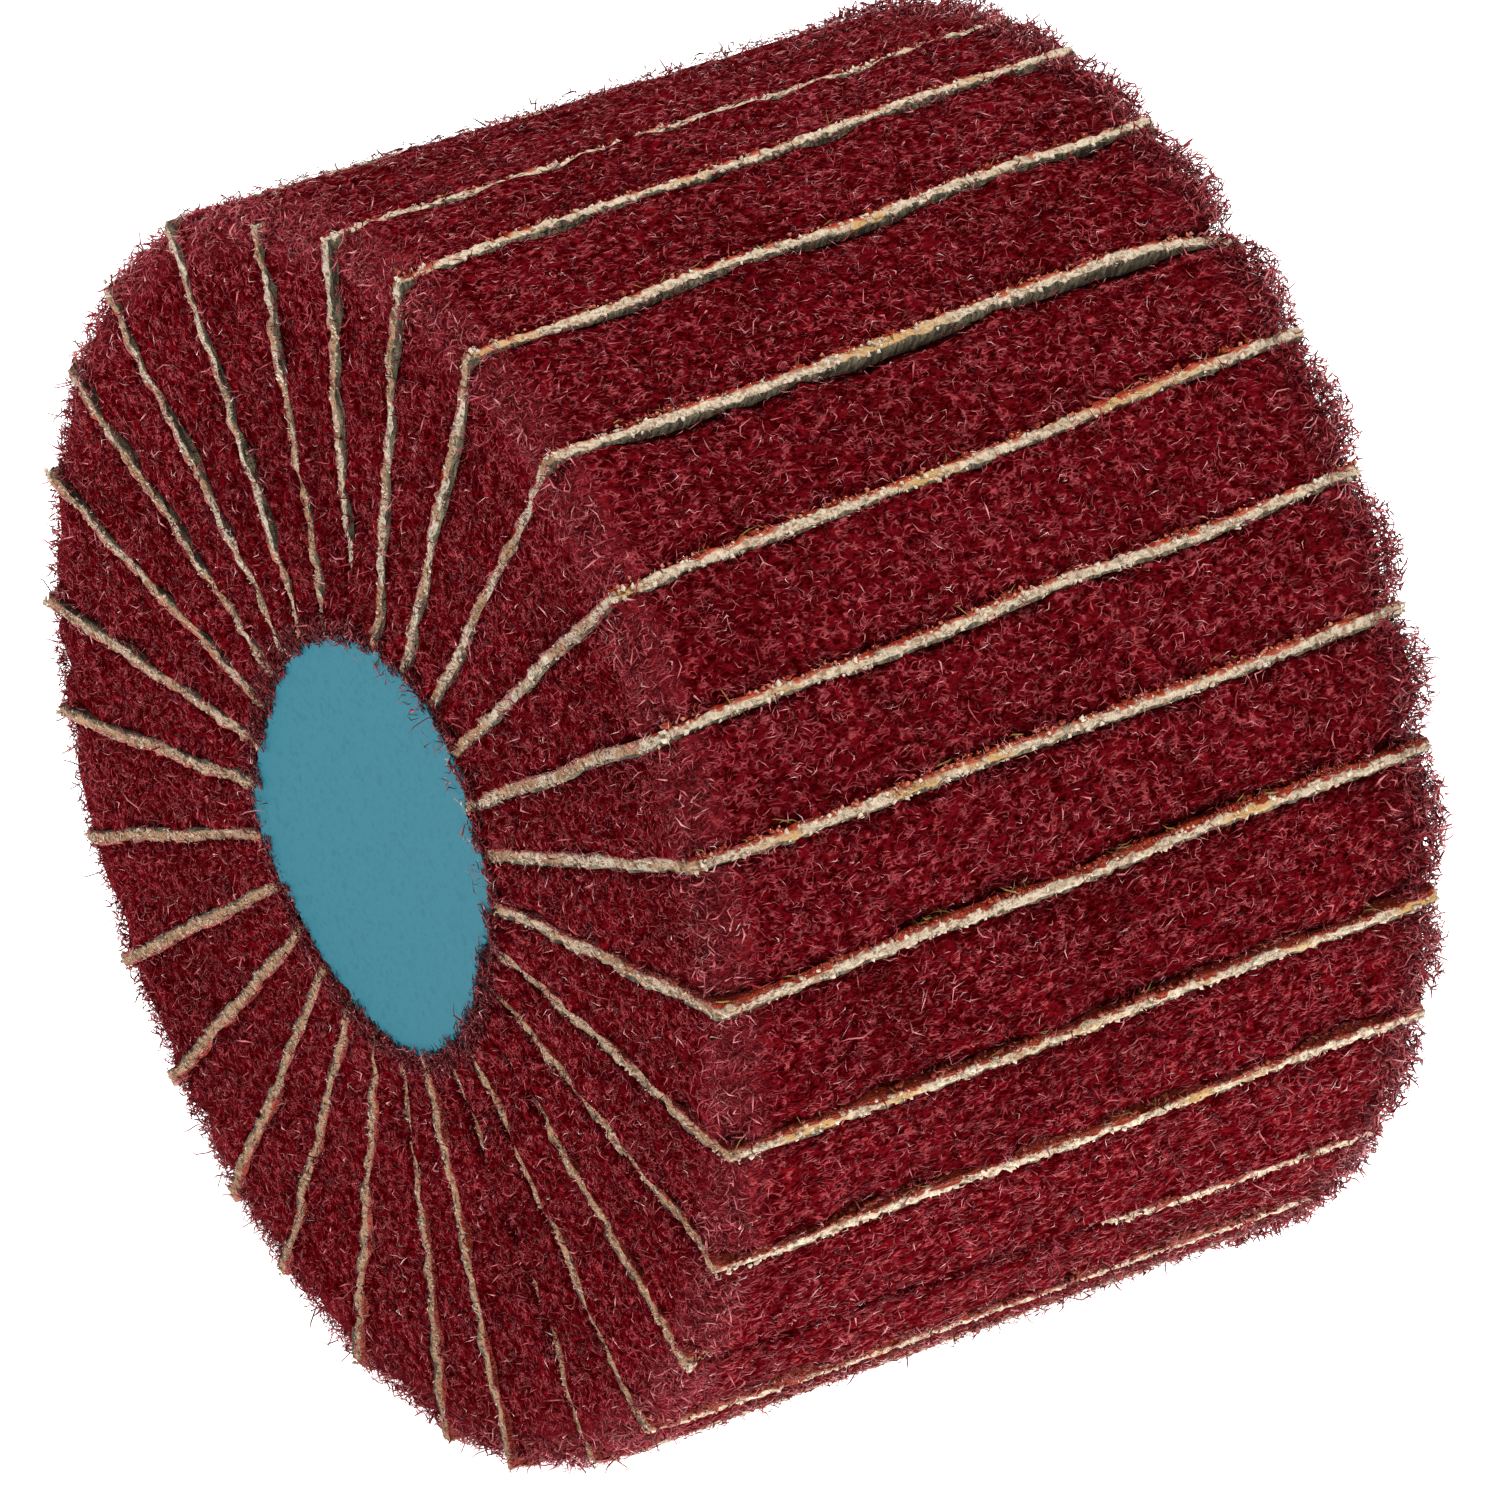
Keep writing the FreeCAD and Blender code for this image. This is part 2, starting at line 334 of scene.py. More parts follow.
def edge_at(edge, mesh, axis, place):
    """True if both ends of an edge are at a place on an axis."""
    return all(abs(mesh.vertices[v].co[axis] - place) < 0.01 for v in edge.vertices)


def divided(cuts, axis, low=-1e9, high=1e9, at=None):
    """Divides the edges along an axis that are low to high long, all of them or those at a place."""
    def test(edge, mesh):
        return edge_runs(edge, mesh, axis, low, high) and (at is None or edge_at(edge, mesh, *at))
    chosen("EDGE", test)
    bpy.ops.mesh.subdivide(number_cuts=cuts)


def points_of(piece):
    """A piece's points, one in a row."""
    points = np.empty(len(piece.data.vertices) * 3)
    piece.data.vertices.foreach_get("co", points)
    return points.reshape(-1, 3)


def notched_root(inner, narrow):
    """Draws the flap's inner end down into its root: a lip, a neck and a wider tail."""
    def end_faces(place, span):
        def test(face, mesh):
            return (
                abs(face.center.x - place) < 0.01
                and face.normal.x < -0.9
                and span[0] < face.center.y < span[1]
            )
        return test
    place = inner
    for step, span in (("lip", RIM_Y), ("tail", HOOK_Y), ("end", HOOK_Y)):
        chosen("FACE", end_faces(place, span))
        move = (ROOT_STEPS[step] - place, 0, 0)
        bpy.ops.mesh.extrude_region_move(TRANSFORM_OT_translate={"value": move})
        squeeze = narrow(ROOT_STEPS[step]) / narrow(place)
        bpy.ops.transform.resize(value=(1, 1, squeeze), center_override=(0, 0, 0))
        place = ROOT_STEPS[step]
    for side, at, to in ((-1, HOOK_Y[0], RIM_Y[0]), (1, HOOK_Y[1], RIM_Y[1])):
        def tail_side(face, mesh):
            return (
                face.normal.y * side > 0.9
                and abs(face.center.y - at) < 0.01
                and face.center.x < ROOT_STEPS["tail"]
            )
        chosen("FACE", tail_side)
        move = (0, to - at, 0)
        bpy.ops.mesh.extrude_region_move(TRANSFORM_OT_translate={"value": move})


def drawn_flap(name, outer, front, back, half_out, half_in):
    """A flap's block, in millimetres along X, cut at its notches and left in edit mode."""
    middle = ((outer + CORE_R) / 2, (front + back) / 2, 0)
    bpy.ops.mesh.primitive_cube_add(size=1, location=(0, 0, 0))
    flap = bpy.context.object
    flap.name = name
    bpy.ops.object.mode_set(mode="EDIT")
    size = (outer - CORE_R, back - front, 2 * half_out)
    bpy.ops.transform.resize(value=size, center_override=(0, 0, 0))
    bpy.ops.transform.translate(value=middle)
    chosen("VERT", lambda vertex, mesh: vertex.co.x < middle[0])
    bpy.ops.transform.resize(value=(1, 1, half_in / half_out), center_override=(0, 0, 0))
    for place in (*RIM_Y, *HOOK_Y):
        bpy.ops.mesh.select_all(action="SELECT")
        bpy.ops.mesh.bisect(plane_co=(0, place, 0), plane_no=(0, 1, 0))
    return flap


half_cloth = CLOTH_THICK / 2
cloth_master = drawn_flap("cloth_master", WHEEL_R, -WHEEL_WIDTH, 0.0, half_cloth, half_cloth)
notched_root(CORE_R, lambda radius: 1.0)
divided(7, Y, 10)
divided(5, X, 10)
divided(2, Z)
for low, high, cuts in ((4, 6, 9), (3, 4, 6), (2, 3, 4)):
    divided(cuts, Y, low, high, at=(X, WHEEL_R))
for end in (-WHEEL_WIDTH, 0.0):
    divided(7, X, 3, 6, at=(Y, end))
bpy.ops.object.mode_set(mode="OBJECT")
cloth_drawn = points_of(cloth_master)


def worked(tree, operation, *values, **settings):
    """A sum, a product or another step of arithmetic on values and sockets."""
    return shader_node(tree, "Math", {"operation": operation, **settings}, values).outputs["Value"]


def attribute(tree, name, output="Fac"):
    """What an attribute of the mesh says at a point."""
    return shader_node(tree, "Attribute", {"attribute_name": name}).outputs[output]


def strand_group():
    """Fine crossing strands: the thin level lines of three fields of noise."""
    group = bpy.data.node_groups.new("strands", "ShaderNodeTree")
    for name, kind in (("Vector", "Vector"), ("Scale", "Float"), ("Width", "Float")):
        group.interface.new_socket(name, in_out="INPUT", socket_type="NodeSocket" + kind)
    group.interface.new_socket("Mask", in_out="OUTPUT", socket_type="NodeSocketFloat")
    ends = group.nodes.new("NodeGroupInput")
    mask = None
    for shift in (0.0, 3.1, 7.7):
        values = (ends.outputs["Vector"], (shift, shift * 0.7, -shift))
        moved = shader_node(group, "VectorMath", {"operation": "ADD"}, values)
        field = noise(group, moved.outputs["Vector"], ends.outputs["Scale"], 1.0)
        off = worked(group, "ABSOLUTE", worked(group, "SUBTRACT", field, 0.5))
        line = worked(group, "DIVIDE", off, ends.outputs["Width"])
        strand = worked(group, "SUBTRACT", 1.0, line, use_clamp=True)
        mask = strand if mask is None else worked(group, "MAXIMUM", mask, strand)
    group.links.new(mask, group.nodes.new("NodeGroupOutput").inputs["Mask"])
    return group


strands = strand_group()


def strand_mask(tree, vector, scale, width):
    """The strands group, placed in a material."""
    values = (vector, scale, width)
    return shader_node(tree, "Group", {"node_tree": strands}, values).outputs["Mask"]


def mixed(tree, factor, first, second):
    """A colour between two colours or colour sockets."""
    values = [factor] + 5 * [None] + [first, second]
    return shader_node(tree, "Mix", {"data_type": "RGBA"}, values).outputs[2]


BLACK = (0, 0, 0, 1)
COTTON = (0.72, 0.60, 0.44, 1)
COTTON_DARK = (0.34, 0.195, 0.11, 1)
COTTON_LIGHT = (0.80, 0.68, 0.53, 1)
BACKING = (0.19, 0.165, 0.10, 1)
BACKING_DARK = (0.05, 0.038, 0.026, 1)
SALMON = (0.45, 0.09, 0.045, 1)
SALMON_GLOSSY = (0.26, 0.02, 0.004, 1)
RESIN_BROWN = (0.24, 0.014, 0.002, 1)
RESIN_LIGHT = (0.34, 0.032, 0.006, 1)
AMBER = (0.58, 0.34, 0.13, 1)
STAINED_DARK = (0.17, 0.09, 0.045, 1)
TAN = (0.42, 0.235, 0.13, 1)
PALE = (0.62, 0.53, 0.41, 1)
BACKING_RIBS = (0.9, 4.5, 1)

cloth_material, tree, shader = new_material("abrasive_cloth")
drawn = attribute(tree, "drawn", "Vector")
where = surface_place(tree)
parts = shader_node(tree, "SeparateXYZ", values=[drawn])
layer = worked(tree, "MULTIPLY_ADD", noise(tree, where, 900.0, 3.0), 0.5, parts.outputs["Z"])
weave = strand_mask(tree, where, 1500.0, 0.10)
edge_colour = mixed(tree, weave, COTTON_DARK, COTTON)
amber_here = ramp(tree, noise(tree, where, 130.0), 0.56, 0.66)
edge_colour = mixed(tree, amber_here, edge_colour, AMBER)
in_front = ramp(tree, parts.outputs["Y"], -49.5, -49.9)
# Painted light: the front cut edges are painted paler towards the top, and tan where they are less clean
painted_top_light = ramp(tree, shader_node(tree, "SeparateXYZ", values=[where]).outputs["Z"], -0.012, 0.016)
clean = ramp(tree, noise(tree, where, 330.0), 0.44, 0.56)
front_colour = mixed(tree, worked(tree, "MULTIPLY", painted_top_light, clean), TAN, PALE)
front_colour = mixed(tree, weave, STAINED_DARK, front_colour)
edge_colour = mixed(tree, in_front, edge_colour, front_colour)
woven = noise(tree, stretched(tree, drawn, BACKING_RIBS), 1.0)
backing = mixed(tree, ramp(tree, woven, 0.4, 0.62), BACKING_DARK, BACKING)
colour = mixed(tree, ramp(tree, layer, -0.06, -0.02), backing, edge_colour)
bits = noise(tree, where, 700.0, 1.0)
salmon_here = worked(tree, "MULTIPLY", ramp(tree, layer, 0.34, 0.42), ramp(tree, bits, 0.45, 0.55))
salmon_here = mixed(tree, in_front, salmon_here, BLACK)
glued = mixed(tree, attribute(tree, "tone"), SALMON, SALMON_GLOSSY)
colour = mixed(tree, salmon_here, colour, glued)
resin_here = ramp(tree, layer, 0.52, 0.58)
resin_colour = mixed(tree, ramp(tree, bits, 0.42, 0.6), RESIN_BROWN, RESIN_LIGHT)
tree.links.new(mixed(tree, resin_here, colour, resin_colour), shader.inputs["Base Color"])
roughened(tree, shader, resin_here, 0.85, 0.2)
shader.inputs["Specular IOR Level"].default_value = 0.3
pebbles = shader_node(tree, "TexVoronoi", Vector=where, Scale=2600.0).outputs["Distance"]
height = worked(tree, "MULTIPLY_ADD", resin_here, pebbles, worked(tree, "ADD", weave, woven))
bumped(tree, shader, height, 0.9, 0.0001)

fray_material, tree, shader = new_material("cotton_fray")
tint = mixed(tree, attribute(tree, "tone"), COTTON_DARK, COTTON_LIGHT)
tree.links.new(tint, shader.inputs["Base Color"])
shader.inputs["Roughness"].default_value = 0.8

# By tone: glassy resin beads, then salmon grit crumbs, then amber strands of resin
GRIT_TONES = (
    (0.0, RESIN_BROWN),
    (0.45, (0.26, 0.035, 0.008, 1)),
    (0.6, (0.50, 0.11, 0.055, 1)),
    (0.9, (0.62, 0.24, 0.14, 1)),
    (0.94, (0.26, 0.15, 0.03, 1)),
    (1.0, (0.30, 0.19, 0.03, 1)),
)
grit_material, tree, shader = new_material("grit_in_resin")
tone = attribute(tree, "tone")
tree.links.new(stepped(tree, tone, GRIT_TONES), shader.inputs["Base Color"])
roughened(tree, shader, tone, 0.1, 0.55, 0.4, 0.5)


def give(mesh, name, kind, values):
    """Writes a named attribute of a mesh, one value for each point."""
    layer = mesh.attributes.new(name, kind, "POINT")
    layer.data.foreach_set("vector" if kind == "FLOAT_VECTOR" else "value", np.ravel(values))


def bake_block(mesh, drawn, sides):
    """Lays the sides of a flap side by side on its bake map, those that show the largest.

    sides gives, for each way that a face looks, the side's corner on the map, the two axes that
    run over it, and how much of the map a millimetre takes along each.
    """
    layer = mesh.uv_layers.new(name="OFBake")
    low = drawn.min(axis=0)
    for face in mesh.polygons:
        axis = int(np.argmax(np.abs(face.normal)))
        corner, axes, share = sides[axis, face.normal[axis] > 0]
        for loop in face.loop_indices:
            place = drawn[mesh.loops[loop].vertex_index] - low
            layer.data[loop].uv = [corner[i] + place[axes[i]] * share[i] for i in (0, 1)]


def grown(piece, name, points, triangles, material, tone, strip):
    """Adds many small closed parts to a piece, in one of its materials.

    Each part has a tone, which is also its place on the bake map.
    """
    index = piece.data.materials.find(material.name)
    mesh = bpy.data.meshes.new(name)
    mesh.from_pydata(points.tolist(), [], triangles.tolist())
    mesh.shade_smooth()
    for each in piece.data.materials:
        mesh.materials.append(each)
    mesh.polygons.foreach_set("material_index", np.full(len(triangles), index))
    give(mesh, "tone", "FLOAT", np.repeat(tone, len(points) // len(tone)))
    layer = mesh.uv_layers.new(name="OFBake")
    corner = np.arange(len(mesh.loops)) % 3
    across = 0.02 + 0.95 * np.repeat(tone, len(mesh.loops) // len(tone)) + 0.003 * (corner == 1)
    up = strip[0] + (strip[1] - strip[0]) * (0.3 + 0.4 * (corner == 2))
    layer.data.foreach_set("uv", np.stack([across, up], axis=1).ravel().astype(np.float32))
    parts = bpy.data.objects.new(name, mesh)
    bpy.context.collection.objects.link(parts)
    bpy.ops.object.select_all(action="DESELECT")
    parts.select_set(True)
    piece.select_set(True)
    bpy.context.view_layer.objects.active = piece
    bpy.ops.object.join()


def copied(master, name, points, materials):
    """A smooth copy of a master flap, with a mesh of its own and its points in place."""
    mesh = master.data.copy()
    mesh.name = name
    mesh.vertices.foreach_set("co", points.ravel())
    mesh.shade_smooth()
    for material in materials:
        mesh.materials.append(material)
    flap = bpy.data.objects.new(name, mesh)
    bpy.context.collection.objects.link(flap)
    return flap


bake_block(cloth_master.data, cloth_drawn, {
    (X, True): ((0.01, 0.01), (Y, Z), (0.0195, 0.05)),
    (Y, False): ((0.01, 0.08), (X, Z), (0.0152, 0.05)),
    (Y, True): ((0.505, 0.08), (X, Z), (0.0152, 0.05)),
    (X, False): ((0.01, 0.145), (Y, Z), (0.0195, 0.01)),
    (Z, True): ((0.01, 0.17), (Y, X), (0.0195, 0.009)),
    (Z, False): ((0.01, 0.47), (Y, X), (0.0195, 0.009)),
})
FRAY_STRIP = (0.80, 0.88)
GRIT_STRIP = (0.90, 0.98)
TUFT_COUNT = 430
TUFT_SIZE = (0.12, 0.24)
FRAY_COUNT = 210
FRAY_SIZES = {"length": (0.35, 0.9), "thick": (0.06, 0.11), "arch": (-0.02, 0.2), "sway": (-0.12, 0.12)}
CRUMB_COUNT = 120
CRUMB_SIZE = (0.07, 0.17)
BEAD_COUNT = 110
BEAD_SIZE = (0.12, 0.32)
STRAND_COUNT = 22
STRAND_SIZES = {
    "length": (0.9, 1.9), "thick": (0.07, 0.11), "lift": (0.0, 0.2), "dip": (0.0, 0.4), "sway": (-0.3, 0.3),
}
# How far a cloth stands out of the fleece in front, how much more beside the label, and behind
FRONT_PROUD = 0.12
CLOTH_BULGE = 0.2
BACK_REACH = 0.7
# By the cloth's number: how far its back corner curls, where fleece has grown over its outer edge
# (from, to, how deep), which cloths have dark glossy resin, and how far the front edge is set back
BACK_CURL = {17: 1.3}
COVERED = {13: (-52, 2, 1.0), 14: (-52, 2, 0.2), 24: (-49, -19, 1.3)}
GLOSSY = (21, 22, 23, 24, 25, 26)
FRONT_SET_BACK = {14: 0.4, 15: 0.8, 16: 0.8, 17: 1.0, 18: 0.4}
# How deep under the fleece a front edge lies, in pairs of a radius and a depth
FRONT_COVER = {
    1: ((14, 0.16), (24, 0.18), (30, 0.03), (36, 0.2), (40, 0.16)),
    2: ((14, 0.15), (40, 0.05)),
    4: ((14, 0.1), (40, 0.12)),
    5: ((14, 0.16), (40, 0.14)),
    6: ((14, 0.2), (40, 0.18)),
    13: ((14, 0.17), (22, 0.19), (30, 0.08), (40, 0.14)),
    14: ((14, 0.55), (18, 0.5), (21, 0.2), (27, 0.05), (40, 0.0)),
    22: ((14, 0.27), (22, 0.2), (34, 0.0)),
    23: ((14, 0.27), (37, 0.25), (40, 0.0)),
    24: ((14, 0.6), (19, 0.6), (22, 0.28), (30, 0.2), (40, 0.12)),
    25: ((14, 0.19), (28, 0.16), (40, 0.1)),
    26: ((14, 0.27), (20, 0.3), (22, 0.55), (31, 0.55), (34, 0.27), (40, 0.2)),
    28: ((14, 0.19), (40, 0.15)),
}
LUMP_POINTS = np.array([(1, 0, 0), (-1, 0, 0), (0, 1, 0), (0, -1, 0), (0, 0, 1), (0, 0, -1)], float)
LUMP_FACES = (0, 2, 4), (2, 1, 4), (1, 3, 4), (3, 0, 4), (2, 0, 5), (1, 2, 5), (3, 1, 5), (0, 3, 5)


def lumps(rng, centre, size):
    """Small uneven lumps of eight faces, each turned its own way."""
    count = len(centre)
    turns = np.linalg.qr(rng.normal(0, 1, (count, 3, 3)))[0]
    turns[:, :, 0] *= np.linalg.det(turns)[:, None]
    corners = np.einsum("nij,kj->nki", turns, LUMP_POINTS) * rng.uniform(0.65, 1.35, (count, 6, 1))
    points = centre[:, None] + corners * size[:, None, None]
    return points.reshape(-1, 3), many(LUMP_FACES, count)


def cut_edge_places(rng, count, inset):
    """Random places on the front, outer and back cut edges, with the way out of the edge."""
    blade = WHEEL_R - CORE_R
    walk = rng.uniform(0, 2 * blade + WHEEL_WIDTH, count)
    edges = [walk < blade, walk < blade + WHEEL_WIDTH]
    behind = CORE_R + 2 * blade + WHEEL_WIDTH - walk
    out = np.select(edges, [CORE_R + walk, WHEEL_R - inset], behind)
    along = np.select(edges, [-WHEEL_WIDTH + inset, walk - blade - WHEEL_WIDTH], -inset)
    facing = [np.select(edges, [0.0, 1.0], 0.0), np.select(edges, [-1.0, 0.0], 1.0), 0 * walk]
    return out, along, np.stack(facing, axis=1)


def in_clumps(rng, count):
    """Places along a cloth's outer edge that gather in clumps and leave stretches bare."""
    along = rng.uniform(-WHEEL_WIDTH + 0.4, -0.2, count * 3)
    first, second = rng.uniform(0, 2 * math.pi, 2)
    crowd = 1.15 + np.sin(along * 1.1 + first) + 0.8 * np.sin(along * 0.43 + second)
    crowd = np.clip(crowd, 0.03, None)
    return rng.choice(along, count, replace=False, p=crowd / crowd.sum())


def cover(number, out):
    """How far a cloth's front edge lies under the fleece that has closed over it."""
    radii, depths = zip(*FRONT_COVER.get(number, ((0, 0.0),)))
    return np.interp(out, radii, depths)


def by_label(out):
    """1 beside the label, and 0 from 17.5 mm out."""
    return np.clip((17.5 - out) / 4, 0, 1)


def past_label(out):
    """0 at 14 mm out, and 1 from 36 mm out, where a front edge is set back in full."""
    return np.clip((out - 14) / 22, 0, 1)


def trimmed(points, number, set_back):
    """A cloth's points, with an uneven front edge and a longer back edge, curled or overgrown.

    By the label the front edge stands as proud as the fleece does.
    """
    out, along, across = np.array(points, float).T
    behind = np.clip((along + 7) / 7, 0, 1.1) ** 2 * np.clip((out - 30) / 10, 0, 1)
    curl = BACK_CURL.get(number + 1, 0.0) * behind
    first, last, depth = COVERED.get(number + 1, (-30, -20, 0.0))
    sunk = depth * np.interp(along, (first - 1, first + 2, last - 4, last), (0, 1, 1, 0))
    sunk = sunk * np.clip((out - 34) / 5, 0, 1)
    uneven = 0.07 * np.sin(0.9 * out + 1.7 * number) + 0.06 * np.sin(2.3 * out + number)
    uneven = uneven + set_back * past_label(out)
    uneven = uneven - FRONT_PROUD - CLOTH_BULGE * by_label(out) + cover(number + 1, out)
    along = along + uneven * np.interp(along, (-WHEEL_WIDTH, -WHEEL_WIDTH + 3), (1, 0))
    along = along + BACK_REACH * np.clip((along + 4) / 4, 0, None)
    return np.stack([out - 0.6 * curl - sunk, along, across - curl], axis=1)


def unit(vectors):
    """Vectors drawn out or in to a length of 1."""
    return vectors / np.linalg.norm(vectors, axis=1, keepdims=True)


def sizes(rng, count, spans):
    """Random sizes for small parts, drawn from named spans in their order."""
    return {name: rng.uniform(low, high, count) for name, (low, high) in spans.items()}


cloth_materials = [cloth_material, fray_material, grit_material]
for number in range(FLAPS):
    rng = np.random.default_rng(100 + number)
    angle = math.pi / 2 + (number + 0.5) * PITCH
    shaped = cloth_drawn.copy()
    out, along, across = shaped.T
    corner = rng.uniform(0.1, 0.6, 2)
    set_back = FRONT_SET_BACK.get(number + 1, 0.0) + rng.uniform(-0.35, 0.0)

    def laid(points):
        return on_wheel(trimmed(points, number, set_back), angle)

    for end, clip in ((-WHEEL_WIDTH, corner[0]), (0.0, corner[1])):
        over = np.clip((out - WHEEL_R) - np.abs(along - end) + clip, 0, None) / 2
        out -= over
        along += over * (1 if end < MID_Y else -1)
    at_rim = out > WHEEL_R - 0.3
    at_ends = (out > CORE_R + 0.3) & ((along < -WHEEL_WIDTH + 0.3) | (along > -0.3))
    inside = 1 - (np.abs(across) / half_cloth) ** 2
    out[at_rim] += rng.uniform(-0.25, 0.1, at_rim.sum()) + 0.12 * inside[at_rim]
    push = rng.uniform(-0.15, 0.12, at_ends.sum())
    along[at_ends] += np.where(along[at_ends] < MID_Y, -1, 1) * push
    loose = at_rim | at_ends
    across[loose] += rng.uniform(-0.09, 0.09, loose.sum())
    cloth = copied(cloth_master, f"abrasive_cloth_{number + 1:02d}", laid(shaped), cloth_materials)
    glossy = number + 1 in GLOSSY
    give(cloth.data, "drawn", "FLOAT_VECTOR", cloth_drawn)
    give(cloth.data, "tone", "FLOAT", np.full(len(cloth_drawn), float(glossy)))

    out, along, facing = cut_edge_places(rng, TUFT_COUNT, 0.06)
    in_front = along < -WHEEL_WIDTH + 0.1
    centre = np.stack([out, along, rng.uniform(-0.4, 0.34, TUFT_COUNT)], axis=1)
    centre += facing * rng.uniform(-0.1, 0.07, (TUFT_COUNT, 1))
    size = rng.uniform(*TUFT_SIZE, TUFT_COUNT) * np.where(in_front, 0.8, 1.0)
    points, triangles = lumps(rng, centre, size)
    # Painted light: tufts on the front edges are darker, and painted paler towards the top
    painted_top_light = 0.5 - 0.5 * math.sin(angle)
    clean = 0.5 + 0.5 * np.sin(out * 0.9 + 2.1 * number)
    tone = rng.uniform(0.35, 0.95, TUFT_COUNT)
    tone *= np.where(in_front, 0.3 + 0.75 * painted_top_light * clean, 1.0)
    grown(cloth, "tufts", laid(points), triangles, fray_material, tone, FRAY_STRIP)

    out, along, facing = cut_edge_places(rng, FRAY_COUNT, 0.0)
    centre = np.stack([out, along, rng.uniform(-0.42, 0.36, FRAY_COUNT)], axis=1)
    run = unit(rng.normal(0, 1, (FRAY_COUNT, 3)) * (1 - 0.5 * np.abs(facing)))
    points, triangles = short_fibres(centre, run, facing, **sizes(rng, FRAY_COUNT, FRAY_SIZES))
    tone = rng.uniform(0.3, 1, FRAY_COUNT)
    grown(cloth, "fray", laid(points), triangles, fray_material, tone, FRAY_STRIP)

    along = in_clumps(rng, CRUMB_COUNT)
    out = WHEEL_R + rng.uniform(-0.4, 0.13, CRUMB_COUNT)
    across = half_cloth + rng.uniform(-0.15, 0.16, CRUMB_COUNT)
    centre = np.stack([out, along, across], axis=1)
    crumb_points, crumb_faces = lumps(rng, centre, rng.uniform(*CRUMB_SIZE, CRUMB_COUNT))
    along = in_clumps(rng, BEAD_COUNT)
    out = WHEEL_R - rng.uniform(0.0, 0.8, BEAD_COUNT)
    across = half_cloth + rng.uniform(-0.02, 0.16, BEAD_COUNT)
    centre = np.stack([out, along, across], axis=1)
    bead_points, bead_faces = lumps(rng, centre, rng.uniform(*BEAD_SIZE, BEAD_COUNT))
    points = np.concatenate([crumb_points, bead_points])
    triangles = np.concatenate([crumb_faces, bead_faces + len(crumb_points)])
    crumb_tone = rng.uniform(0.5, 0.9, CRUMB_COUNT) - 0.45 * glossy
    tone = np.concatenate([crumb_tone, rng.uniform(0, 0.4, BEAD_COUNT)])
    grown(cloth, "grit", laid(points), triangles, grit_material, tone, GRIT_STRIP)

    along = in_clumps(rng, STRAND_COUNT)
    out = WHEEL_R - rng.uniform(0.0, 0.7, STRAND_COUNT)
    across = half_cloth + rng.uniform(0.05, 0.4, STRAND_COUNT)
    centre = np.stack([out, along, across], axis=1)
    run = unit(rng.normal(0, 1, (STRAND_COUNT, 3)) * (0.5, 1.6, 0.6))
    facing = unit(np.cross(run, rng.normal(0, 1, (STRAND_COUNT, 3))))
    points, triangles = fibre_ribs(centre, run, facing, **sizes(rng, STRAND_COUNT, STRAND_SIZES))
    tone = rng.uniform(0.94, 1.0, STRAND_COUNT)
    grown(cloth, "strands", laid(points), triangles, grit_material, tone, GRIT_STRIP)
    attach(cloth, "root")
    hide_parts(f"cloth_flap_{number + 1:02d}")
bpy.data.objects.remove(cloth_master)

# Fleece flaps
# Wedges of non-woven nylon fleece, maroon and springy, squeezed between the cloths. Crimped
# fibres lie over and through each other on every open face, and loose ones stand off its edges.
FLEECE_R = 39.8
FRONT_Y = -50.0
BACK_Y = -0.15
EDGE_ROUND = 1.8
# How far the fleece bulges beside the label and behind, and the share of a cloth's cover by which
# it closes over that cloth's front edge
PAD_BULGE = 0.3
BACK_CROWN = 1.2
CLOSING_SHARE = 0.38
# How far the fleece beside a cloth has sunk and bares its backing or its grit, by the cloth's number
BACKING_SHOWS = {14: 0.0, 15: 0.2, 16: 0.3, 17: 0.85, 18: 0.0, 26: 0.8}
GRIT_SHOWS = {21: 0.65, 22: 0.55, 23: 0.5, 24: 0.0, 25: 0.3}


def half_fleece(radius):
    """Half a fleece flap's thickness at some radius."""
    return radius * math.tan(PITCH / 2) - CLOTH_THICK / 2 / math.cos(PITCH / 2)


def settled(number, points):
    """A fleece flap's points, sunk beside bared cloths, and bulging by the label and at the back.

    In front it closes over the edges of the cloths that lie deep.
    """
    out, along, across = np.array(points, float).T
    share = np.clip(across / half_fleece(np.maximum(out, 10)), -1, 1)
    beside_backing = np.clip((share - 0.45) / 0.55, 0, 1) ** 1.5
    beside_grit = np.clip((-share - 0.45) / 0.55, 0, 1) ** 1.5
    uneven = 1 + 0.45 * np.sin(along * 0.37 + number) + 0.25 * np.sin(along * 0.9 + 2.3 * number)
    sink = BACKING_SHOWS.get(number, 0.1) * beside_backing * np.clip((along + 48) / 12, 0.1, 1)
    sink += GRIT_SHOWS.get(number + 1, 0.1) * beside_grit
    out = out - sink * uneven * np.clip((out - 35.5) / 4, 0, 1)
    set_back = (FRONT_SET_BACK.get(number, 0.0) + FRONT_SET_BACK.get(number + 1, 0.0)) / 2
    set_back = set_back * past_label(out)
    along = along + set_back * np.interp(along, (FRONT_Y, FRONT_Y + 4), (1, 0))
    along = along - PAD_BULGE * by_label(out) * np.clip(-48 - along, 0, 1)
    closing = cover(number or FLAPS, out) * np.clip(share, 0, 1) ** 2
    closing -= cover(number + 1, out) * np.clip(-share, 0, 1) ** 2
    across = across + CLOSING_SHARE * closing * np.clip((-47.5 - along) / 2, 0, 1)
    crown = BACK_CROWN * (1 - share ** 2)
    along = along + crown * np.clip((along + 4) / 4, 0, 1) * np.clip((out - 20) / 15, 0, 1)
    return np.stack([out, along, across], axis=1)


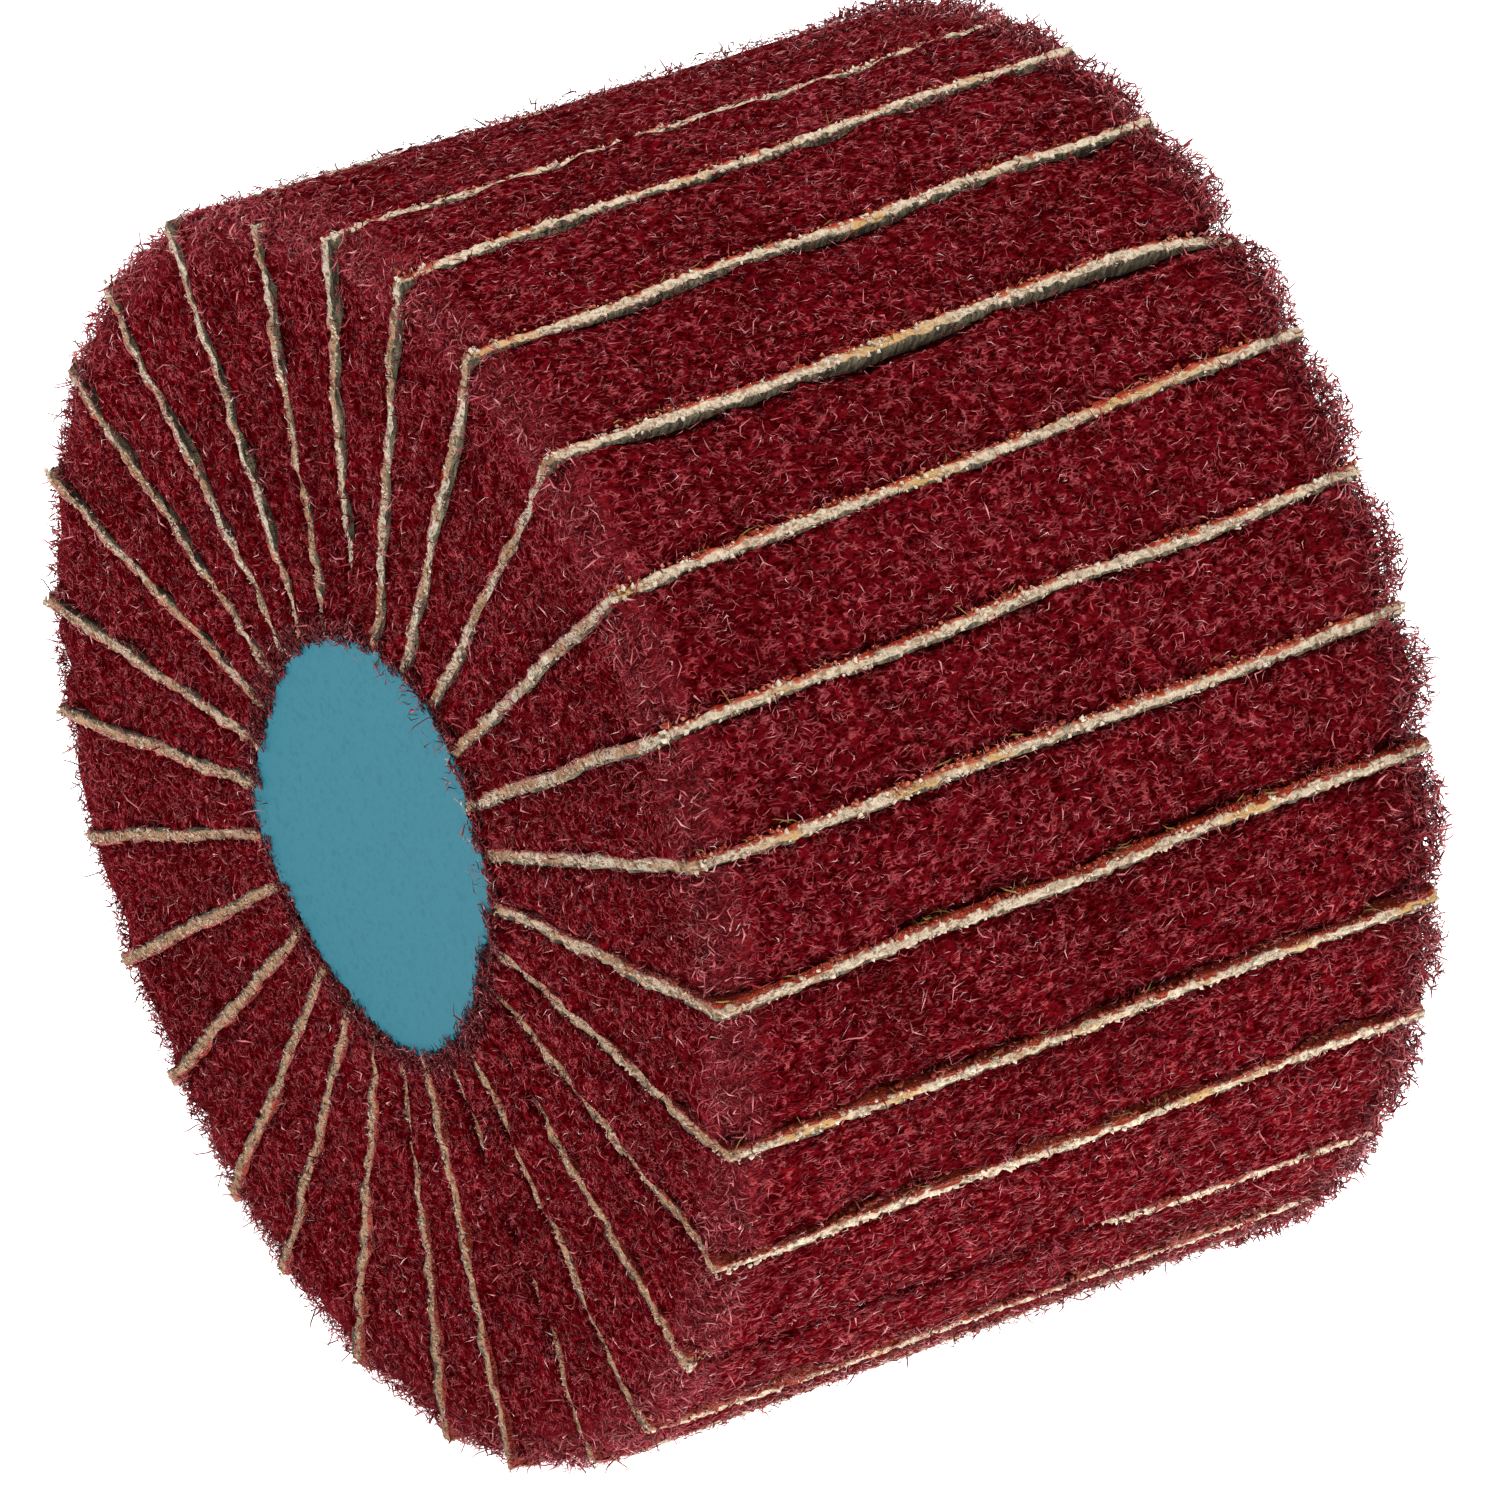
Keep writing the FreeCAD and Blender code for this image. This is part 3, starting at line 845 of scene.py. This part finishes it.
pad_master = drawn_flap(
    "pad_master", FLEECE_R, FRONT_Y, BACK_Y, half_fleece(FLEECE_R), half_fleece(CORE_R)
)
notched_root(CORE_R, half_fleece)
divided(7, Y, 10)
divided(3, X, 10)
for low, high, cuts in ((4, 6, 2), (2.9, 4, 1), (2, 2.9, 1)):
    divided(cuts, Y, low, high, at=(X, FLEECE_R))
for end in (FRONT_Y, BACK_Y):
    divided(3, X, 4, 9, at=(Y, end))
divided(4, Z)
bpy.ops.object.mode_set(mode="OBJECT")
pad_drawn = points_of(pad_master)
bake_block(pad_master.data, pad_drawn, {
    (X, True): ((0.01, 0.01), (Y, Z), (0.0195, 0.0195)),
    (Y, False): ((0.01, 0.20), (X, Z), (0.0152, 0.0195)),
    (Y, True): ((0.505, 0.20), (X, Z), (0.0152, 0.0195)),
    (Z, True): ((0.01, 0.39), (Y, X), (0.0095, 0.009)),
    (Z, False): ((0.505, 0.39), (Y, X), (0.0095, 0.009)),
    (X, False): ((0.01, 0.70), (Y, Z), (0.0195, 0.006)),
})
FIBRE_STRIP = (0.80, 0.98)

# Painted shade: the pits deep in the fleece, and the fibres down in them, are painted near black
PAINTED_PIT_SHADE = (0.016, 0.0, 0.0002, 1)
PAINTED_SHADED_FIBRE = (0.055, 0.0, 0.0006, 1)
WEB_RED = (0.17, 0.004, 0.008, 1)
# Painted highlight: short pink glints along the strands
GLINT_RED = (0.44, 0.07, 0.08, 1)
# Painted light: the fleece's pad near the rims, painted paler where the rims catch the light
PAINTED_RIM_LIGHT_RED = (0.34, 0.03, 0.04, 1)
PATCH_DARK = (0.03, 0.0, 0.001, 1)
# By tone, the fibres' colours: their own reds, and in the pale pink and near-white stops at the top,
# painted highlights
FIBRE_TONES_AND_HIGHLIGHTS = (
    (0.0, (0.045, 0.0, 0.0005, 1)),
    (0.4, (0.12, 0.0004, 0.003, 1)),
    (0.7, (0.35, 0.02, 0.033, 1)),
    (0.92, (0.76, 0.25, 0.26, 1)),
    (1.0, (0.95, 0.70, 0.68, 1)),
)
fleece_material, tree, shader = new_material("maroon_fleece")
where = surface_place(tree)
combed = stretched(tree, where, (1, 0.55, 1))
web = strand_mask(tree, combed, 1700.0, 0.075)
deep = strand_mask(tree, combed, 2700.0, 0.09)
broken = ramp(tree, noise(tree, where, 1400.0), 0.46, 0.56)
glint = worked(tree, "MULTIPLY", strand_mask(tree, combed, 1450.0, 0.03), broken)
shade = ramp(tree, noise(tree, where, 110.0), 0.3, 0.5, 0.7, 1.0)
# Painted shade in the pits, the web in the fibres' own red, painted glints, painted light near the rims,
# and random darker patches of dye
colour = mixed(tree, deep, PAINTED_PIT_SHADE, PAINTED_SHADED_FIBRE)
colour = mixed(tree, web, colour, WEB_RED)
colour = mixed(tree, glint, colour, GLINT_RED)
colour = mixed(tree, attribute(tree, "tone"), colour, PAINTED_RIM_LIGHT_RED)
colour = mixed(tree, shade, PATCH_DARK, colour)
tree.links.new(colour, shader.inputs["Base Color"])
shader.inputs["Roughness"].default_value = 0.8
shader.inputs["Specular IOR Level"].default_value = 0.0
bumped(tree, shader, web, 1.0, 0.0002)

fibre_material, tree, shader = new_material("maroon_fibre")
tree.links.new(stepped(tree, attribute(tree, "tone"), FIBRE_TONES_AND_HIGHLIGHTS), shader.inputs["Base Color"])
shader.inputs["Roughness"].default_value = 0.32
shader.inputs["Specular IOR Level"].default_value = 0.3

# How far out the label's ragged edge lies: angles from +X downwards, in degrees, and radii
LABEL_EDGE = [
    (0, 13.7), (12, 12.4), (45, 12.7), (70, 13.4), (108, 12.3), (140, 12.8), (167, 14.7), (182, 13.4),
    (200, 12.2), (240, 12.8), (270, 13.7), (298, 14.6), (320, 14.6), (331, 13.7), (346, 14.3),
]

FIBRE_COUNT = 2700
# The shares of the fibres that catch the light and are painted bright, that are fine, and that are painted
# nearly white as sparkles: painted highlights
LIT_SHARE = 0.24
FINE_SHARE = 0.26
PAINTED_SPARKLE_SHARE = 0.02
FIBRE_SIZES = {
    "length": (0.5, 1.2), "fine": (0.045, 0.07), "thick": (0.07, 0.11), "arch": (-0.05, 0.2),
    "sway": (-0.17, 0.17),
}
WEB_COUNT = 1150
WEB_SIZES = {"thick": (0.1, 0.17), "arch": (0.0, 0.25), "sway": (-0.2, 0.2)}
FLUFF_COUNT = 170
FLUFF_SIZES = {"length": (0.5, 1.1), "thick": (0.09, 0.13), "arch": (0.0, 0.1), "sway": (-0.2, 0.2)}
FLUFF_OUT_R = 14.6
WHISKER_COUNT = 80
WHISKER_SIZES = {"thick": (0.08, 0.12), "lift": (0.0, 0.3), "dip": (0.2, 0.9), "sway": (-0.4, 0.4)}
# How near to a rim the fleece is loose, how near to one its pad is painted paler, and how near to the front
# rim its fibres are painted lighter: painted light that the rims catch
LOOSE_REACH = 2.2
RIM_LIGHT_REACH = 2.5
FRONT_LIGHT_REACH = 5.0
FIBRE_ROUND = 1.5
FIBRE_IN_R = 12.8
FIBRE_OUT_R = 39.9
FIBRE_FRONT_Y = -50.25
FIBRE_BACK_Y = 0.3


def label_reach(angle):
    """How far out the label's ragged edge lies, at an angle round the wheel from +X downwards."""
    degrees, reach = zip(*LABEL_EDGE)
    return np.interp(np.degrees(angle) % 360, degrees, reach, period=360)


def open_face(rng, count):
    """Random places on the fleece's front, outer and back faces, and the way out of the face."""
    top = FIBRE_OUT_R - FIBRE_ROUND
    straight = top - FIBRE_IN_R
    bend = FIBRE_ROUND * math.pi / 2
    width = (FIBRE_BACK_Y - FIBRE_ROUND) - (FIBRE_FRONT_Y + FIBRE_ROUND)
    total = 2 * straight + 2 * bend + width
    walk = np.empty(0)
    while len(walk) < count:
        tried = rng.uniform(0, total, count)
        radius = np.minimum(FIBRE_IN_R + np.minimum(tried, total - tried), top)
        kept = rng.uniform(0, half_fleece(FLEECE_R), count) < half_fleece(radius)
        walk = np.concatenate([walk, tried[kept]])
    walk = walk[:count]
    mirrored = walk > total / 2
    half = np.minimum(walk, total - walk)
    turn = np.clip((half - straight) / FIBRE_ROUND, 0, math.pi / 2)
    flat = np.clip(half - straight - bend, 0, None)
    out = FIBRE_IN_R + np.minimum(half, straight) + FIBRE_ROUND * np.sin(turn)
    along = FIBRE_FRONT_Y + FIBRE_ROUND * (1 - np.cos(turn)) + flat
    facing = np.stack([np.sin(turn), -np.cos(turn)], axis=1)
    along = np.where(mirrored, FIBRE_FRONT_Y + FIBRE_BACK_Y - along, along)
    facing[:, Y] = np.where(mirrored, -facing[:, Y], facing[:, Y])
    return out, along, np.concatenate([facing, np.zeros((count, 1))], axis=1)


def near_rim(out, along, reach):
    """True within reach of the wheel's front or back rim, where the fleece is loosest."""
    return (out > WHEEL_R - reach) & ((along < -WHEEL_WIDTH + reach) | (along > -reach))


def by_the_rim(rng, count, elsewhere):
    """Places on the open faces, most of them near the back rim, and some near the front one."""
    out, along, facing = open_face(rng, count * 12)
    odds = np.where(near_rim(out, along, LOOSE_REACH), np.where(along > MID_Y, 1.0, 0.2), elsewhere)
    picked = rng.choice(len(out), count, replace=False, p=odds / odds.sum())
    return out[picked], along[picked], facing[picked]


fleece_materials = [fleece_material, fibre_material]
for number in range(FLAPS):
    rng = np.random.default_rng(500 + number)
    angle = math.pi / 2 + number * PITCH

    def laid(points):
        return on_wheel(settled(number, points), angle)

    shaped = pad_drawn.copy()
    out, along, across = shaped.T
    for end, inward in ((FRONT_Y, 1), (BACK_Y, -1)):
        beyond_out = out - (FLEECE_R - EDGE_ROUND)
        beyond_end = EDGE_ROUND - np.abs(along - end)
        corner = (beyond_out > 0) & (beyond_end > 0)
        reach = np.hypot(beyond_out, beyond_end)
        pull = np.where(corner & (reach > EDGE_ROUND), EDGE_ROUND / np.maximum(reach, 1e-6), 1.0)
        out[corner] = (FLEECE_R - EDGE_ROUND) + (beyond_out * pull)[corner]
        along[corner] = (end + inward * (EDGE_ROUND - beyond_end * pull))[corner]
    at_rim = out > FLEECE_R - 0.6
    at_ends = (out > CORE_R + 0.2) & ((along < FRONT_Y + 0.8) | (along > BACK_Y - 0.8))
    out[at_rim] += rng.uniform(-0.4, 0.2, at_rim.sum())
    push = rng.uniform(-0.35, 0.35, at_ends.sum())
    along[at_ends] += np.where(along[at_ends] < MID_Y, 1, -1) * push
    fleece = copied(pad_master, f"fleece_{number + 1:02d}", laid(shaped), fleece_materials)
    # Painted light: the pad is painted paler near its rims, more in front than behind
    painted_rim_light = near_rim(pad_drawn[:, X], pad_drawn[:, Y], RIM_LIGHT_REACH)
    painted_rim_light = painted_rim_light * np.where(pad_drawn[:, Y] < MID_Y, 0.4, 0.15)
    give(fleece.data, "tone", "FLOAT", painted_rim_light)

    out, along, facing = open_face(rng, FIBRE_COUNT)
    across = rng.uniform(-1, 1, FIBRE_COUNT) * (half_fleece(out) + 0.1)
    kind = rng.uniform(0, 1, FIBRE_COUNT)
    depth = rng.uniform(0, 1, FIBRE_COUNT) ** 2 * 0.8 - 0.4
    depth = np.where(kind < LIT_SHARE, 0.2 + 0.2 * depth, depth)
    centre = np.stack([out, along, across], axis=1) + facing * depth[:, None]
    run = rng.normal(0, 1, (FIBRE_COUNT, 3)) * (1, 2.6, 1)
    inwards = (run * facing).sum(1)
    run = unit(run - facing * inwards[:, None] * 0.7)
    facing = unit(facing - run * (facing * run).sum(1)[:, None])
    size = sizes(rng, FIBRE_COUNT, FIBRE_SIZES)
    size["thick"] = np.where(kind < FINE_SHARE, size.pop("fine"), size["thick"])
    points, triangles = short_fibres(centre, run, facing, **size)
    # Painted highlight: the fibres that catch the light get the bright tones, and a few the near-white ones
    # as sparkles
    bright = rng.uniform(0.78, 0.93, FIBRE_COUNT)
    tone = np.where(kind < LIT_SHARE, bright, rng.normal(0.36, 0.17, FIBRE_COUNT))
    # Painted shade: fibres on the front face are painted darker, with dimmer painted highlights
    tone = np.where(facing[:, Y] < -0.5, 0.88 * tone, tone)
    # Painted light: near the front rim the fibres are painted a lighter crimson
    in_front = near_rim(out, along, FRONT_LIGHT_REACH) & (along < MID_Y)
    tone = np.where(in_front, np.minimum(0.3 * tone + 0.58, 0.76), tone)
    tone = np.where(kind < PAINTED_SPARKLE_SHARE, rng.uniform(0.96, 1, FIBRE_COUNT), np.clip(tone, 0.02, 0.93))
    grown(fleece, "fibres", laid(points), triangles, fibre_material, tone, FIBRE_STRIP)

    out, along, facing = by_the_rim(rng, WEB_COUNT, 0.012)
    across = rng.uniform(-1, 1, WEB_COUNT) * (half_fleece(out) + 0.15)
    length = rng.uniform(0.7, 1.6, WEB_COUNT)
    loose = rng.uniform(0, 1, WEB_COUNT) ** 2
    reach = np.where(along > MID_Y, 1.2, 0.6)
    run = unit(facing * (0.5 * loose)[:, None] + rng.normal(0, 0.55, (WEB_COUNT, 3)))
    centre = np.stack([out, along, across], axis=1) + facing * (reach * loose - 0.4)[:, None]
    side = unit(np.cross(run, rng.normal(0, 1, (WEB_COUNT, 3))))
    points, triangles = short_fibres(centre, run, side, length, **sizes(rng, WEB_COUNT, WEB_SIZES))
    # Painted light: the loose web by the rims is painted lighter than the fibres on the faces
    tone = np.clip(rng.normal(0.6, 0.17, WEB_COUNT), 0.05, 0.93)
    grown(fleece, "web", laid(points), triangles, fibre_material, tone, FIBRE_STRIP)

    share = rng.uniform(-1, 1, FLUFF_COUNT)
    inmost = label_reach(angle + share * PITCH / 2) - 0.2
    outmost = np.maximum(FLUFF_OUT_R, inmost + 1)
    out = inmost + (outmost - inmost) * rng.uniform(0, 1, FLUFF_COUNT)
    across = share * (half_fleece(out) + 0.3)
    along = rng.uniform(-50.3, -49.8, FLUFF_COUNT)
    run = unit(rng.normal(0, 1, (FLUFF_COUNT, 3)) * (1, 0.3, 1))
    facing = np.zeros((FLUFF_COUNT, 3))
    facing[:, Y] = -1
    centre = np.stack([out, along, across], axis=1)
    points, triangles = short_fibres(centre, run, facing, **sizes(rng, FLUFF_COUNT, FLUFF_SIZES))
    tone = np.clip(rng.normal(0.4, 0.2, FLUFF_COUNT), 0.02, 0.9)
    grown(fleece, "fluff", laid(points), triangles, fibre_material, tone, FIBRE_STRIP)

    out, along, facing = by_the_rim(rng, WHISKER_COUNT, 0.02)
    across = rng.uniform(-1, 1, WHISKER_COUNT) * (half_fleece(out) + 0.2)
    length = rng.uniform(1.0, 2.3, WHISKER_COUNT)
    run = unit(facing * rng.uniform(0.3, 1.2, (WHISKER_COUNT, 1)) + rng.normal(0, 0.7, (WHISKER_COUNT, 3)))
    centre = np.stack([out, along, across], axis=1) + run * (length * 0.3)[:, None]
    side = unit(np.cross(run, rng.normal(0, 1, (WHISKER_COUNT, 3))))
    points, triangles = fibre_ribs(centre, run, side, length, **sizes(rng, WHISKER_COUNT, WHISKER_SIZES))
    tone = rng.uniform(0.3, 0.88, WHISKER_COUNT)
    grown(fleece, "whiskers", laid(points), triangles, fibre_material, tone, FIBRE_STRIP)
    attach(fleece, "root")
    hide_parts(f"fleece_flap_{number + 1:02d}")
bpy.data.objects.remove(pad_master)

# Resin core
# Dark epoxy, poured round the spindle and the flaps' roots. It creeps a little up the spindle.
RESIN_DARK = (0.018, 0.017, 0.017, 1)
RESIN_CLOUD = (0.06, 0.05, 0.047, 1)
resin, tree, shader = new_material("cast_resin")
cloudy = noise(tree, surface_place(tree), 260.0, 4.0)
tree.links.new(mixed(tree, cloudy, RESIN_DARK, RESIN_CLOUD), shader.inputs["Base Color"])
roughened(tree, shader, cloudy, 0.25, 0.5)
bumped(tree, shader, cloudy, 0.3, 0.0002)
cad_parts["resin_core"].data.materials.clear()
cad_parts["resin_core"].data.materials.append(resin)

# Label disc
# A thin round card glued to the core's front face, and left bare. Its soft edge is ragged: it lies
# on the flaps' ends, and the fleece has grown over it in places.
LABEL_R = 13.2
LABEL_THICK = 0.3
LABEL_RING = 252
LABEL_RIM = 4.5
LABEL_LIFT = 0.14
LABEL_JITTER = 0.13
DOWN_COUNT = 600
DOWN_SIZES = {"length": (0.4, 0.9), "thick": (0.06, 0.11), "arch": (0.0, 0.08), "sway": (-0.08, 0.08)}
TEAL_DARK = (0.0055, 0.122, 0.168, 1)
TEAL = (0.0125, 0.143, 0.198, 1)
TEAL_FIBRE = (0.016, 0.154, 0.209, 1)
card, tree, shader = new_material("teal_card")
where = surface_place(tree)
paper = strand_mask(tree, where, 1400.0, 0.12)
base = mixed(tree, noise(tree, where, 320.0, 5.0), TEAL_DARK, TEAL)
tree.links.new(mixed(tree, paper, base, TEAL_FIBRE), shader.inputs["Base Color"])
shader.inputs["Roughness"].default_value = 0.6
shader.inputs["Specular IOR Level"].default_value = 0.1
bumped(tree, shader, paper, 0.25, 0.00003)


def ragged(points, jitter):
    """The round card's points, with its rim drawn in or out to the ragged edge and lifted."""
    x, along, z = np.array(points, float).T
    radius = np.hypot(x, z)
    angle = np.arctan2(-z, x)
    rim = np.clip((radius - LABEL_R + LABEL_RIM) / LABEL_RIM, 0, 1)
    moved = radius + rim * (label_reach(angle) - LABEL_R + jitter)
    along = along - LABEL_LIFT * rim
    return np.stack([moved * np.cos(angle), along, -moved * np.sin(angle)], axis=1) * MM


bpy.ops.object.select_all(action="DESELECT")
bpy.ops.mesh.primitive_cylinder_add(vertices=LABEL_RING, radius=LABEL_R, depth=LABEL_THICK)
label = bpy.context.object
bpy.ops.object.mode_set(mode="EDIT")
bpy.ops.transform.rotate(value=math.pi / 2, orient_axis="X", center_override=(0, 0, 0))
bpy.ops.transform.translate(value=(0, -WHEEL_WIDTH - LABEL_THICK / 2, 0))
chosen("FACE", lambda face, mesh: abs(face.normal.y) > 0.9)
bpy.ops.mesh.inset(thickness=LABEL_RIM, use_individual=True)
bpy.ops.object.mode_set(mode="OBJECT")
label_drawn = points_of(label)
rng = np.random.default_rng(900)
steps = np.degrees(np.arctan2(-label_drawn[:, Z], label_drawn[:, X])) * LABEL_RING / 360
jitter = rng.normal(0, LABEL_JITTER, LABEL_RING)[np.round(steps).astype(int) % LABEL_RING]
label.data.vertices.foreach_set("co", ragged(label_drawn, jitter).ravel())
bpy.ops.object.shade_smooth_by_angle(angle=math.radians(30))
label.data.materials.append(card)
for layer in list(label.data.uv_layers):
    label.data.uv_layers.remove(layer)
bake_block(label.data, label_drawn, {
    (Y, False): ((0.01, 0.01), (X, Z), (0.016, 0.027)),
    (Y, True): ((0.505, 0.01), (X, Z), (0.016, 0.027)),
    (X, False): ((0.01, 0.79), (Z, Y), (0.016, 0.05)),
    (X, True): ((0.505, 0.79), (Z, Y), (0.016, 0.05)),
    (Z, False): ((0.01, 0.84), (X, Y), (0.016, 0.05)),
    (Z, True): ((0.505, 0.84), (X, Y), (0.016, 0.05)),
})
DOWN_STRIP = (0.92, 0.98)

angle = rng.uniform(0, 2 * math.pi, DOWN_COUNT)
radius = LABEL_R + rng.uniform(-0.3, 0.15, DOWN_COUNT)
height = -WHEEL_WIDTH - rng.uniform(0.1, LABEL_THICK + 0.05, DOWN_COUNT)
centre = np.stack([radius * np.cos(angle), height, -radius * np.sin(angle)], axis=1)
centre = ragged(centre, 0.0) / MM
outwards = np.stack([np.cos(angle), 0 * angle, -np.sin(angle)], axis=1)
run = unit(outwards + rng.normal(0, 0.5, (DOWN_COUNT, 3)) * (1, 0.4, 1))
side = unit(np.cross(run, rng.normal(0, 1, (DOWN_COUNT, 3))))
points, triangles = short_fibres(centre, run, side, **sizes(rng, DOWN_COUNT, DOWN_SIZES))
grown(label, "down", points * MM, triangles, card, rng.uniform(0, 1, DOWN_COUNT), DOWN_STRIP)
label.name = "label_card"
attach(label, "root")
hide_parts("label_disc")
